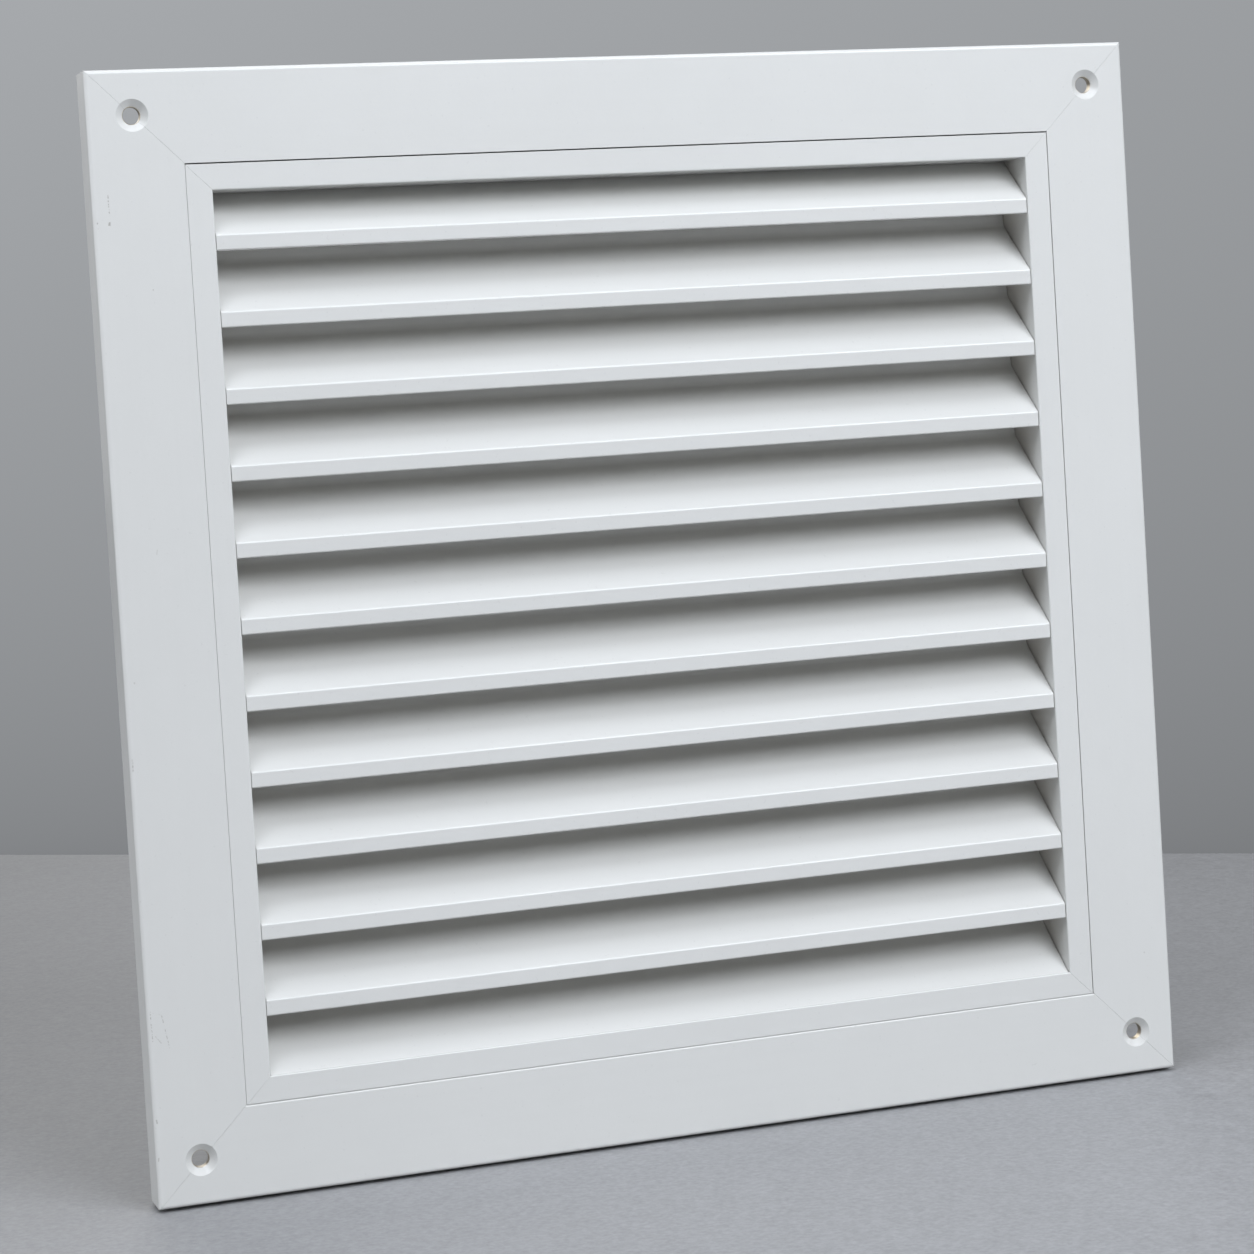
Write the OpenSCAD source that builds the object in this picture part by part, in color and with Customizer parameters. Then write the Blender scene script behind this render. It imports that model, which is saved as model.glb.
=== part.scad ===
// Return air grille: a mitred outer frame that is screwed to the wall, and a
// louvred core that clips into it. The front faces the -Y side and +Z is up. The
// origin lies midway between the four corner screw holes, where their countersinks
// end; depths in the code count from the front face.

/* [Overall size] */
// Width over the outer frame
grille_w = 300; // [200:5:600]
// Height over the outer frame
grille_h = 300; // [200:5:600]

/* [Outer frame] */
// Width of the flat face of each outer frame member
face_w = 25; // [23:0.5:40]
// Thickness of the outer frame's face
face_t = 1.5; // [1.2:0.1:1.8]
// Depth of the outer lip, from the front face back to the wall
lip_depth = 12; // [8:0.5:20]
// Thickness of the outer lip and of the step beside the core
lip_t = 1.5; // [1:0.1:2]
// Radius of the rounded outer edge
edge_r = 0.8; // [0.3:0.1:1]
// Width of the ledge that the core sits on
ledge_w = 3; // [2.6:0.1:3.6]
// Depth of the neck that reaches into the duct, from the front face
neck_depth = 30; // [24:1:60]
// Thickness of the neck and the ledge
neck_t = 1.2; // [1:0.1:1.6]

/* [Corner screw holes] */
// Distance of each hole from the two outer edges
hole_inset = 12; // [11.5:0.1:13]
// Diameter of the screw hole
hole_d = 4.6; // [3.5:0.1:5.5]
// Diameter of the countersink at the face
sink_d = 8.6; // [7:0.1:9]

/* [Outer corner keys] */
// Width of a key's arms
key_w = 12; // [10.5:0.5:12.5]
// Thickness of a key
key_t = 2; // [1.5:0.1:2.5]
// Length of a key's arms
key_arm = 46; // [30:1:60]
// Play of a key in its channel, on each side
key_clear = 0.15; // [0.05:0.05:0.3]
// Thickness of the channel's webs and hooks
hook_t = 1.1; // [0.8:0.1:1.4]
// Reach of each hook over the key
hook_w = 1.6; // [1:0.1:1.8]

/* [Core frame] */
// Play between the core and the outer frame, on each side
core_clear = 0.3; // [0.2:0.05:0.5]
// How far the core has settled down in its play
core_drop = 0.2; // [0:0.05:0.2]
// How far the core has settled to the left in its play
core_side = 0.12; // [0:0.02:0.2]
// Width of the visible face of each core member
core_face = 6.8; // [6:0.1:9]
// Thickness of the core's face
core_face_t = 1.4; // [1:0.1:1.8]
// Thickness of the core's side leg and chamber walls
core_wall = 1.2; // [1:0.1:1.4]
// Depth of the hollow chamber that takes the core's corner keys
chamber_depth = 1.7; // [1.4:0.1:2.5]
// Depth of the core's legs, from the front face
core_depth = 21; // [20:0.5:23]
// Radius of the core's front edges
core_edge_r = 0.4; // [0.1:0.1:0.5]
// Length of the core keys' arms
core_key_arm = 30; // [15:1:50]
// Play of a core key in its chamber, on each side
core_key_clear = 0.05; // [0.02:0.01:0.1]

/* [Blades] */
// Pitch of the blades, fitted to a whole number of gaps
blade_pitch = 20.4; // [19:0.2:24]
// Space from the opening's upper edge down to the first nose's lower edge
head_gap = 15.9; // [13:0.1:18]
// Height of the blade's flat nose
nose_h = 4.2; // [3:0.1:6]
// Recess of the nose behind the front face
nose_recess = 0.4; // [0.2:0.1:1]
// Radius of the nose's upper edge
nose_r = 0.9; // [0.3:0.1:1.2]
// Slope of the blade, from the horizontal
blade_angle = 40; // [36:1:44]
// Thickness of the blade
blade_t = 1.3; // [1:0.1:1.5]
// Depth of the blade, from its nose to its upstand's back
blade_depth = 17.6; // [15:0.1:18]
// Height by which the upstand passes the next nose's lower edge
sight_overlap = 0.6; // [0:0.1:1.5]
// Inner radius of the bend between slope and upstand
bend_r = 2.4; // [1:0.1:3]
// How far the lowest nose top lies below the opening's lower edge
sill_drop = 0.3; // [0.1:0.1:1]
// Play between a blade's end and the stile, at each end
blade_end_clear = 0.15; // [0.1:0.05:0.25]

/* [Blade screws and spring clips] */
// Outer radius of the screw port under each blade
port_r = 2.5; // [2.3:0.1:2.7]
// Depth of the port's centre behind the front face
port_y = 10; // [9:0.1:11]
// Diameter of the blade screws' shanks
screw_d = 2.8; // [2.2:0.1:3]
// Length of the blade screws' shanks
screw_len = 10; // [6:0.5:16]
// Diameter of the blade screws' heads
screw_head_d = 5.4; // [4.6:0.1:5.8]
// Height of the blade screws' heads
screw_head_h = 1.6; // [1.2:0.1:1.8]
// Width of a spring clip
clip_w = 10; // [7:0.5:12]
// Thickness of a spring clip
clip_t = 0.5; // [0.3:0.1:0.5]
// How many blades from the top and bottom the clips sit
clip_row = 3; // [2:1:4]

/* [Hidden] */
$fn = 48;
// Overreach of cutting tools past the surface that they cut
over = 0.1;
// Running play round a screw's shank and between a clip and the neck
fine_clear = 0.05;
// Segments of a rounded corner in a section
arc_steps = 6;

// Core frame and opening
core_w = grille_w - 2 * (face_w + core_clear);
core_h = grille_h - 2 * (face_w + core_clear);
open_w = core_w - 2 * core_face;
open_h = core_h - 2 * core_face;
flange_depth = core_face_t + chamber_depth + core_wall;
core_pos = [-core_side, 0, -core_drop];

// Distances from the outer frame's outer edge
step_in = face_w - lip_t;
neck_in = face_w + ledge_w;
neck_out = neck_in - neck_t;

// Countersink, whose lower end is the origin's plane
sink_depth = (sink_d - hole_d) / 2;

// Key channel
key_out = hole_inset - key_w / 2;
hook_front = face_t + key_t + key_clear;
hook_back = hook_front + hook_t;

// Blades, numbered from the top; the last one is the sill blade
blade_run = open_h - head_gap + nose_h + sill_drop;
gap_count = round(blade_run / blade_pitch);
pitch = blade_run / gap_count;
blade_count = gap_count + 1;
function blade_z(i) = open_h / 2 - head_gap - (i - 1) * pitch;
function blade_name(i) = str("blade_", i < 10 ? "0" : "", i);
blade_len = open_w - 2 * blade_end_clear;
rise = tan(blade_angle);
slant_t = blade_t / cos(blade_angle);
blade_back = nose_recess + blade_depth;
blade_top = pitch + sight_overlap;
port_bore = screw_d / 2 + fine_clear;
port_merge = 0.4;
port_z = nose_h + (port_y - nose_recess) * rise - slant_t - (port_r - port_merge) / cos(blade_angle);
port_slot = 1.5;

// Space beside the core's stiles, where the screw heads and clips lie
side_gap = face_w + core_clear + core_face - core_wall - neck_in;
leg_out = open_w / 2 + core_wall;
clip_peak = side_gap - core_side - fine_clear;
clip_rows = [clip_row, blade_count + 1 - clip_row];
clip_foot = 8;
clip_front = port_y - clip_foot / 2;
clip_chord = min(core_depth, clip_front + clip_foot + 7) - clip_front - clip_foot;
clip_sag = clip_peak - clip_t;
clip_r = (pow(clip_chord / 2, 2) + pow(clip_sag, 2)) / (2 * clip_sag);

frame_colour = "gainsboro";
blade_colour = "whitesmoke";

// Rounding of a closed outline whose corners are [x, y, radius]
function unit(v) = v / norm(v);
function corner_arc(a, b, c) =
    let (p = [b[0], b[1]], u = unit([a[0], a[1]] - p), v = unit([c[0], c[1]] - p))
    let (half = acos(min(1, max(-1, u * v))) / 2, r = b[2])
    let (centre = p + unit(u + v) * r / sin(half))
    let (start = p + u * r / tan(half) - centre, turn = 180 - 2 * half)
    let (way = u[0] * v[1] - u[1] * v[0] > 0 ? -1 : 1)
    [for (k = [0 : arc_steps]) let (t = way * turn * k / arc_steps)
        centre + [start[0] * cos(t) - start[1] * sin(t), start[0] * sin(t) + start[1] * cos(t)]];
function rounded(corners) =
    let (n = len(corners))
    [for (i = [0 : n - 1])
        each corners[i][2] > 0
            ? corner_arc(corners[(i + n - 1) % n], corners[i], corners[(i + 1) % n])
            : [[corners[i][0], corners[i][1]]]];

// Sections are drawn as [distance in from the outer edge, depth behind the face]
module box_section(in_from, in_to, depth_from, depth_to) {
    translate([in_from, depth_from])
        square([in_to - in_from, depth_to - depth_from]);
}

module hook_section(side) {
    web_edge = hole_inset + side * (key_w / 2 + key_clear);
    web_out = web_edge + side * hook_t;
    hook_edge = web_edge - side * hook_w;
    box_section(min(web_edge, web_out), max(web_edge, web_out), face_t - over, hook_back);
    box_section(min(hook_edge, web_out), max(hook_edge, web_out), hook_front, hook_back);
}

module outer_section() {
    polygon(rounded([
        [0, 0, edge_r],
        [face_w, 0, edge_r / 2],
        [face_w, flange_depth, 0],
        [neck_in, flange_depth, 0.3],
        [neck_in, neck_depth, 0.3],
        [neck_out, neck_depth, 0.3],
        [neck_out, flange_depth + neck_t, 0],
        [step_in, flange_depth + neck_t, 0.3],
        [step_in, face_t, 0],
        [lip_t, face_t, 0],
        [lip_t, lip_depth, 0.3],
        [0, lip_depth, 0.3]
    ]));
    hook_section(-1);
    hook_section(1);
}

module core_section() {
    difference() {
        polygon(rounded([
            [0, 0, core_edge_r],
            [core_face, 0, core_edge_r],
            [core_face, core_depth, 0.3],
            [core_face - core_wall, core_depth, 0.3],
            [core_face - core_wall, flange_depth, 0],
            [0, flange_depth, 0.3]
        ]));
        box_section(core_wall, core_face - core_wall, core_face_t, core_face_t + chamber_depth);
    }
}

// A bar of the given section along the top of a frame, cut to 45 degrees at both
// ends and then turned about the Y axis to its own side
module mitred_bar(length, reach, section_w, depth, turn) {
    cut = section_w + over;
    rotate([0, turn, 0])
        intersection() {
            translate([-length / 2, 0, reach])
                rotate([0, 90, 0])
                    linear_extrude(length)
                        children();
            translate([0, depth + over, 0])
                rotate([90, 0, 0])
                    linear_extrude(depth + 2 * over)
                        polygon([
                            [-length / 2 - over, reach + over],
                            [length / 2 + over, reach + over],
                            [length / 2 - cut, reach - cut],
                            [cut - length / 2, reach - cut]
                        ]);
        }
}

// Countersunk hole at each corner, seen from the front
module corner_holes() {
    for (x = [-1, 1], z = [-1, 1])
        translate([x * (grille_w / 2 - hole_inset), 0, z * (grille_h / 2 - hole_inset)])
            rotate([-90, 0, 0]) {
                cylinder(d = hole_d, h = hook_back);
                translate([0, 0, -over])
                    cylinder(d1 = sink_d + 2 * over, d2 = hole_d, h = sink_depth + over);
            }
}

module frame_bar(length, reach, turn) {
    color(frame_colour)
        difference() {
            mitred_bar(length, reach, neck_in, neck_depth, turn)
                outer_section();
            corner_holes();
        }
}

module core_bar(length, reach, turn) {
    color(frame_colour)
        translate(core_pos)
            mitred_bar(length, reach, core_face, core_depth, turn)
                core_section();
}

module core_stile(side) {
    difference() {
        core_bar(core_h, core_w / 2, side * 90);
        translate(core_pos)
            for (i = [1 : blade_count])
                translate([side * (leg_out + over), port_y, blade_z(i) + port_z])
                    rotate([0, -side * 90, 0])
                        cylinder(d = screw_d + 2 * fine_clear, h = core_wall + 2 * over);
    }
}

// Flat L with its corner at the origin and its arms along +X and +Z
module flat_key(arm, width, thickness) {
    translate([0, thickness, 0])
        rotate([90, 0, 0])
            linear_extrude(thickness)
                polygon([[0, 0], [arm, 0], [arm, width], [width, width], [width, arm], [0, arm]]);
}

module frame_key(x, z) {
    color("darkkhaki")
        difference() {
            translate([x * (grille_w / 2 - key_out), face_t, z * (grille_h / 2 - key_out)])
                mirror([x > 0 ? 1 : 0, 0, 0])
                    mirror([0, 0, z > 0 ? 1 : 0])
                        flat_key(key_arm, key_w, key_t);
            corner_holes();
        }
}

module core_key(x, z) {
    inset = core_wall + core_key_clear;
    color("silver")
        translate(core_pos)
            translate([x * (core_w / 2 - inset), core_face_t + core_key_clear, z * (core_h / 2 - inset)])
                mirror([x > 0 ? 1 : 0, 0, 0])
                    mirror([0, 0, z > 0 ? 1 : 0])
                        flat_key(core_key_arm, core_face - 2 * inset, chamber_depth - 2 * core_key_clear);
}

// Blade section as [depth behind the face, height over the nose's lower edge]
module blade_section() {
    slope_back = blade_back - blade_t;
    difference() {
        union() {
            polygon(rounded([
                [nose_recess, 0, 0.4],
                [nose_recess + blade_t, 0, 0.3],
                [nose_recess + blade_t, nose_h + blade_t * rise - slant_t, 0.4],
                [blade_back, nose_h + blade_depth * rise - slant_t, bend_r + blade_t],
                [blade_back, blade_top, 0.4],
                [slope_back, blade_top, 0.4],
                [slope_back, nose_h + (slope_back - nose_recess) * rise, bend_r],
                [nose_recess, nose_h, nose_r]
            ]));
            translate([port_y, port_z])
                circle(port_r);
        }
        translate([port_y, port_z]) {
            circle(port_bore);
            rotate(blade_angle - 90)
                translate([0, -port_slot / 2])
                    square([port_r + over, port_slot]);
        }
    }
}

// A blade is cut off where it meets the rails: the first at the head, the last at the sill
module blade(i) {
    head = open_h / 2 - blade_end_clear - blade_z(i);
    sill = -open_h / 2 - blade_z(i);
    color(blade_colour)
        translate(core_pos)
            translate([-blade_len / 2, 0, blade_z(i)])
                rotate([90, 0, 90])
                    linear_extrude(blade_len)
                        if (i == 1 || i == blade_count)
                            intersection() {
                                blade_section();
                                translate([0, sill])
                                    square([core_depth, head - sill]);
                            }
                        else
                            blade_section();
}

// Pan head screw with its head's seat at the origin and its shank down -Z
module blade_screw() {
    difference() {
        union() {
            translate([0, 0, -screw_len])
                cylinder(d = screw_d, h = screw_len + over);
            rotate_extrude()
                intersection() {
                    polygon(rounded([
                        [-screw_head_d / 2, 0, 0],
                        [screw_head_d / 2, 0, 0],
                        [screw_head_d / 2, screw_head_h, screw_head_h * 0.6],
                        [-screw_head_d / 2, screw_head_h, screw_head_h * 0.6]
                    ]));
                    square(screw_head_d);
                }
        }
        for (turn = [0, 90])
            rotate(turn)
                translate([-screw_head_d / 4, -0.35, screw_head_h * 0.4])
                    cube([screw_head_d / 2, 0.7, screw_head_h]);
    }
}

module blade_screws(side) {
    color("lightsteelblue")
        translate(core_pos)
            for (i = [1 : blade_count]) {
                seat = leg_out + (len(search(i, clip_rows)) > 0 ? clip_t : 0);
                translate([side * seat, port_y, blade_z(i) + port_z])
                    rotate([0, side * 90, 0])
                        blade_screw();
            }
}

// Leaf spring held under a blade screw, bowed out against the neck
module clip_section() {
    translate([0, clip_front])
        square([clip_t, clip_foot]);
    intersection() {
        translate([clip_peak - clip_r, clip_front + clip_foot + clip_chord / 2])
            difference() {
                circle(clip_r);
                circle(clip_r - clip_t);
            }
        translate([0, clip_front + clip_foot - over])
            square([side_gap, clip_chord + over]);
    }
}

module clip(side, row) {
    z = blade_z(clip_rows[row]) + port_z;
    color("slategray")
        translate(core_pos)
            difference() {
                translate([0, 0, z - clip_w / 2])
                    mirror([side < 0 ? 1 : 0, 0, 0])
                        translate([leg_out, 0, 0])
                            linear_extrude(clip_w)
                                clip_section();
                translate([side * (leg_out - over), port_y, z])
                    rotate([0, side * 90, 0])
                        cylinder(d = screw_d + 2 * fine_clear, h = clip_t + 2 * over);
            }
}

// Moves the front face forward, so that the countersinks end at the origin's plane
module placed() {
    translate([0, -sink_depth, 0])
        children();
}

placed() frame_bar(grille_w, grille_h / 2, 0);  // frame_top
placed() frame_bar(grille_w, grille_h / 2, 180);  // frame_bottom
placed() frame_bar(grille_h, grille_w / 2, -90);  // frame_left
placed() frame_bar(grille_h, grille_w / 2, 90);  // frame_right
placed() frame_key(-1, 1);  // frame_key_top_left
placed() frame_key(1, 1);  // frame_key_top_right
placed() frame_key(-1, -1);  // frame_key_bottom_left
placed() frame_key(1, -1);  // frame_key_bottom_right
placed() core_bar(core_w, core_h / 2, 0);  // core_top
placed() core_bar(core_w, core_h / 2, 180);  // core_bottom
placed() core_stile(-1);  // core_left
placed() core_stile(1);  // core_right
placed() core_key(-1, 1);  // core_key_top_left
placed() core_key(1, 1);  // core_key_top_right
placed() core_key(-1, -1);  // core_key_bottom_left
placed() core_key(1, -1);  // core_key_bottom_right
for (i = [1 : blade_count])
    placed() blade(i);
placed() blade_screws(-1);  // blade_screws_left
placed() blade_screws(1);  // blade_screws_right
placed() clip(-1, 0);  // clip_top_left
placed() clip(1, 0);  // clip_top_right
placed() clip(-1, 1);  // clip_bottom_left
placed() clip(1, 1);  // clip_bottom_right
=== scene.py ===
"""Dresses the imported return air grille: bars, keys, blades, screws, clips and their finishes.

Sizes are in millimetres in the classes and in metres in Blender. Depths count from
the front face, which lies FACE_Y in front of the origin's plane; the front faces -Y.
"""
import logging
import math
from collections.abc import Callable, Iterable, Sequence
from dataclasses import dataclass, field
from enum import Enum

import bpy
import bmesh
from bpy.types import Material, Node, NodeSocket, NodeTree, Object
from mathutils import Matrix, Vector
from mathutils.geometry import tessellate_polygon


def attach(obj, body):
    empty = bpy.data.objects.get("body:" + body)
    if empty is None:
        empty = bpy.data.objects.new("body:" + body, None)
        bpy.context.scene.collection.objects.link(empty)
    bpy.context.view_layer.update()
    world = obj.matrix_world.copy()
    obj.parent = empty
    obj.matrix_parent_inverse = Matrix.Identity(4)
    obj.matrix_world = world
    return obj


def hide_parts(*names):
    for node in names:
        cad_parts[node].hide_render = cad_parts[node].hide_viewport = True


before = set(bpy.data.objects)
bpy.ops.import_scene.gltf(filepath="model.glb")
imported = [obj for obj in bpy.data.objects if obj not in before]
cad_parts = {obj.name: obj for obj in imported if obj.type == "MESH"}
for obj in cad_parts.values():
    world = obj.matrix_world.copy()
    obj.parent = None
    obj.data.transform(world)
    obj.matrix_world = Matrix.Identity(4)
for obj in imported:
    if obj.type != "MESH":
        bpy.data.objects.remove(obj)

LOG = logging.getLogger("grille")
MM = 0.001
FACE_Y = -2.0
FLOOR_Z = -150.95
MERGE_DISTANCE = 2e-7
THIN_EDGE = 1e-7
SHARP_ANGLE = 32.0
FACE_WEIGHT = 80
ROLL_SEED_STEP = 11.0

Point = tuple[float, float]
Triple = tuple[float, float, float]
Sockets = bpy.types.bpy_prop_collection
Input = float | int | tuple[float, ...] | NodeSocket | Material
Values = dict[str | int, Input]


class Named(Enum):
    """Options whose names are part of the names of the CAD nodes."""

    @property
    def label(self) -> str:
        """The name as the CAD nodes have it."""
        return self.name.lower()


class Bar(Named):
    """The four bars of a mitred frame, with the turn about Y that brings the top bar there."""

    TOP = 0
    RIGHT = 90
    BOTTOM = 180
    LEFT = -90

    @property
    def matrix(self) -> Matrix:
        """Turn that moves the top bar to this side."""
        return Matrix.Rotation(math.radians(self.value), 4, "Y")


class Corner(Named):
    """The four corners, as signs of x and z."""

    TOP_LEFT = (-1, 1)
    TOP_RIGHT = (1, 1)
    BOTTOM_LEFT = (-1, -1)
    BOTTOM_RIGHT = (1, -1)


class Side(Named):
    """The left and right stile, as the sign of x."""

    LEFT = -1
    RIGHT = 1


class Grain(Enum):
    """Direction in which an extrusion was drawn through its die."""

    ALONG_X = (0.02, 1.0, 1.0)
    ALONG_Z = (1.0, 1.0, 0.02)
    NONE = (1.0, 1.0, 1.0)


# Sections


def rounded(corners: Sequence[Triple], steps: int = 6) -> list[Point]:
    """Rounds the corners of a closed outline.

    Args:
        corners: Corners in order, each with its radius; a radius of 0 stays sharp.
        steps: Segments of each arc.

    Returns:
        The outline's points in the same order.
    """
    points: list[Point] = []
    count = len(corners)
    for index, (x, y, radius) in enumerate(corners):
        if radius <= 0:
            points.append((x, y))
            continue
        here = Vector((x, y))
        before = Vector(corners[index - 1][:2]) - here
        after = Vector(corners[(index + 1) % count][:2]) - here
        u, v = before.normalized(), after.normalized()
        half = math.acos(max(-1.0, min(1.0, u.dot(v)))) / 2
        centre = here + (u + v).normalized() * radius / math.sin(half)
        start = here + u * radius / math.tan(half) - centre
        turn = math.pi - 2 * half
        way = -1.0 if u.x * v.y - u.y * v.x > 0 else 1.0
        for step in range(steps + 1):
            angle = way * turn * step / steps
            c, s = math.cos(angle), math.sin(angle)
            points.append((centre.x + start.x * c - start.y * s, centre.y + start.x * s + start.y * c))
    return points


def inset(outline: Sequence[Point], amount: float) -> list[Point]:
    """Moves every side of a closed outline inwards.

    Args:
        outline: Points in counter-clockwise order.
        amount: Distance of the move.

    Returns:
        As many points as before.
    """
    moved: list[Point] = []
    count = len(outline)
    for index, point in enumerate(outline):
        here = Vector(point)
        u = (here - Vector(outline[index - 1])).normalized()
        v = (Vector(outline[(index + 1) % count]) - here).normalized()
        normal = Vector((-u.y - v.y, u.x + v.x)).normalized()
        share = max(0.4, normal.dot(Vector((-u.y, u.x))))
        spot = here + normal * (amount / share)
        moved.append((spot.x, spot.y))
    return moved


def counter_clockwise(outline: list[Point]) -> list[Point]:
    """Returns the outline in counter-clockwise order."""
    area = sum(a[0] * b[1] - b[0] * a[1] for a, b in zip(outline, outline[1:] + outline[:1]))
    return outline if area > 0 else outline[::-1]


def clipped(outline: Sequence[Point], low: float, high: float) -> list[Point]:
    """Keeps the part of an outline between two heights.

    Args:
        outline: Closed outline.
        low: Lowest second coordinate that stays.
        high: Highest second coordinate that stays.

    Returns:
        The clipped outline.
    """
    kept = list(outline)
    for limit, sign in ((low, 1.0), (high, -1.0)):
        source, kept = kept, []
        for a, b in zip(source, source[1:] + source[:1]):
            inside_a, inside_b = sign * (a[1] - limit) >= 0, sign * (b[1] - limit) >= 0
            if inside_a:
                kept.append(a)
            if inside_a != inside_b:
                share = (limit - a[1]) / (b[1] - a[1])
                kept.append((a[0] + (b[0] - a[0]) * share, limit))
    return kept


def circle(radius: float, segments: int) -> list[Point]:
    """Points of a circle about the origin."""
    angles = [2 * math.pi * k / segments for k in range(segments)]
    return [(radius * math.cos(a), radius * math.sin(a)) for a in angles]


# Meshes


@dataclass
class Shell:
    """Collects the points and faces of a mesh, in millimetres."""

    points: list[Vector] = field(default_factory=list)
    faces: list[tuple[int, ...]] = field(default_factory=list)

    def ring(self, points: Iterable[Vector]) -> list[int]:
        """Adds a ring of points.

        Args:
            points: The ring in order.

        Returns:
            Their indices.
        """
        start = len(self.points)
        self.points.extend(points)
        return list(range(start, len(self.points)))

    def bridge(self, rings: Sequence[Sequence[int]]) -> None:
        """Closes the strip of quads between each ring and the next.

        Args:
            rings: Rings of equally many points.
        """
        for a, b in zip(rings, rings[1:]):
            for i in range(len(a)):
                j = (i + 1) % len(a)
                self.faces.append((a[i], a[j], b[j], b[i]))

    def cap(self, outer: Sequence[int], inner: Sequence[int] = ()) -> None:
        """Closes a ring, or the land between two rings.

        Args:
            outer: The ring.
            inner: A ring inside it that stays open.
        """
        if not inner:
            self.faces.append(tuple(outer))
            return
        both = [*outer, *inner]
        loops = [[self.points[i] for i in outer], [self.points[i] for i in inner]]
        self.faces.extend(tuple(both[i] for i in tri) for tri in tessellate_polygon(loops))

    def fan(self, ring: Sequence[int], tip: Vector) -> None:
        """Closes a ring with triangles to one point.

        Args:
            ring: The ring.
            tip: The point.
        """
        self.points.append(tip)
        top = len(self.points) - 1
        for i in range(len(ring)):
            self.faces.append((ring[i], ring[(i + 1) % len(ring)], top))

    def lathe(self, profile: Sequence[Point], segments: int) -> "Shell":
        """Turns a profile about Z.

        Args:
            profile: Points as [radius, height]; the first and last lie on the axis.
            segments: Faces round the axis.

        Returns:
            The shell.
        """
        rings = []
        for radius, height in profile[1:-1]:
            rings.append(self.ring(Vector((x, y, height)) for x, y in circle(radius, segments)))
        self.bridge(rings)
        self.fan(rings[0], Vector((0.0, 0.0, profile[0][1])))
        self.fan(rings[-1], Vector((0.0, 0.0, profile[-1][1])))
        return self

    def prism(
        self,
        outline: Sequence[Point],
        place: Callable[[Point, float, float], Vector],
        bevel: float,
        hollow: Sequence[Point] = (),
    ) -> "Shell":
        """Draws a section out between two ends, with rounded end edges.

        Args:
            outline: Section in counter-clockwise order.
            place: Gives the spot of a section point for an end's sign and its distance from that end.
            bevel: Radius of the end edges.
            hollow: Outline of a hollow through the section.

        Returns:
            The shell.
        """
        turns = (0.0, math.pi / 6, math.pi / 3, math.pi / 2)
        rows = [(bevel * (1 - math.sin(t)), bevel * (1 - math.cos(t))) for t in turns]
        levels = [(-1.0, *row) for row in reversed(rows)] + [(1.0, *row) for row in rows]
        rings = [self.ring(place(p, sign, back) for p in inset(outline, cut)) for sign, back, cut in levels]
        self.bridge(rings)
        if hollow:
            ends = [self.ring(place(p, sign, 0.0) for p in hollow) for sign in (-1.0, 1.0)]
            self.bridge(ends)
        else:
            ends = [(), ()]
        self.cap(rings[0], ends[0])
        self.cap(rings[-1], ends[1])
        return self

    def object(self, name: str, matrix: Matrix | None = None) -> Object:
        """Makes a Blender object of the collected faces.

        Args:
            name: Name of the object.
            matrix: Placement in millimetres that goes into the mesh.

        Returns:
            The object, at the origin, with its faces outwards.
        """
        mesh = bpy.data.meshes.new(name)
        move = matrix or Matrix.Identity(4)
        mesh.from_pydata([(move @ p) * MM for p in self.points], [], self.faces)
        obj = bpy.data.objects.new(name, mesh)
        bpy.context.scene.collection.objects.link(obj)
        tidy_mesh(obj)
        return obj


def tidy_mesh(obj: Object) -> None:
    """Merges doubles and turns the faces of a mesh outwards.

    Args:
        obj: The mesh's object.
    """
    work = bmesh.new()
    work.from_mesh(obj.data)
    bmesh.ops.remove_doubles(work, verts=work.verts, dist=MERGE_DISTANCE)
    bmesh.ops.dissolve_degenerate(work, edges=work.edges, dist=THIN_EDGE)
    bmesh.ops.recalc_face_normals(work, faces=work.faces)
    work.to_mesh(obj.data)
    work.free()


def baked(obj: Object) -> Object:
    """Turns an object's modifiers into a plain mesh and removes them.

    Args:
        obj: The object.

    Returns:
        The same object.
    """
    graph = bpy.context.evaluated_depsgraph_get()
    old = obj.data
    mesh = bpy.data.meshes.new_from_object(obj.evaluated_get(graph), depsgraph=graph)
    obj.modifiers.clear()
    obj.data = mesh
    mesh.name = obj.name
    bpy.data.meshes.remove(old)
    return obj


def carve(obj: Object, tools: Sequence[Object]) -> None:
    """Cuts tools out of an object and deletes the tools.

    Args:
        obj: The object.
        tools: The tools.
    """
    for tool in tools:
        cut = obj.modifiers.new("cut", "BOOLEAN")
        cut.operation = "DIFFERENCE"
        cut.solver = "EXACT"
        cut.object = tool
    baked(obj)
    for tool in tools:
        bpy.data.objects.remove(tool, do_unlink=True)


def hand_over(
    obj: Object,
    finish: Material,
    nodes: Sequence[str],
    tools: Sequence[Object] = (),
    angle: float = SHARP_ANGLE,
) -> None:
    """Cuts, shades and dresses a piece and gives it its place in the frame.

    Args:
        obj: The piece.
        finish: Its material.
        nodes: CAD nodes that the piece stands for.
        tools: Objects to cut out of it first.
        angle: Angle in degrees up to which edges are shaded smooth.
    """
    if tools:
        carve(obj, tools)
        tidy_mesh(obj)
    obj.data.shade_smooth()
    obj.data.set_sharp_from_angle(angle=math.radians(angle))
    weigh = obj.modifiers.new("weigh", "WEIGHTED_NORMAL")
    weigh.keep_sharp = True
    weigh.weight = FACE_WEIGHT
    baked(obj)
    obj.data.materials.clear()
    obj.data.materials.append(finish)
    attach(obj, "root")
    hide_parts(*nodes)
    LOG.info("%s: %d faces for %s", obj.name, len(obj.data.polygons), ", ".join(nodes))


# Node trees


@dataclass(frozen=True)
class Layer:
    """A noise: features per metre, detail, roughness and how far it varies the tone."""

    scale: float
    detail: float = 2.0
    roughness: float = 0.5
    tone: float = 0.0


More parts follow.
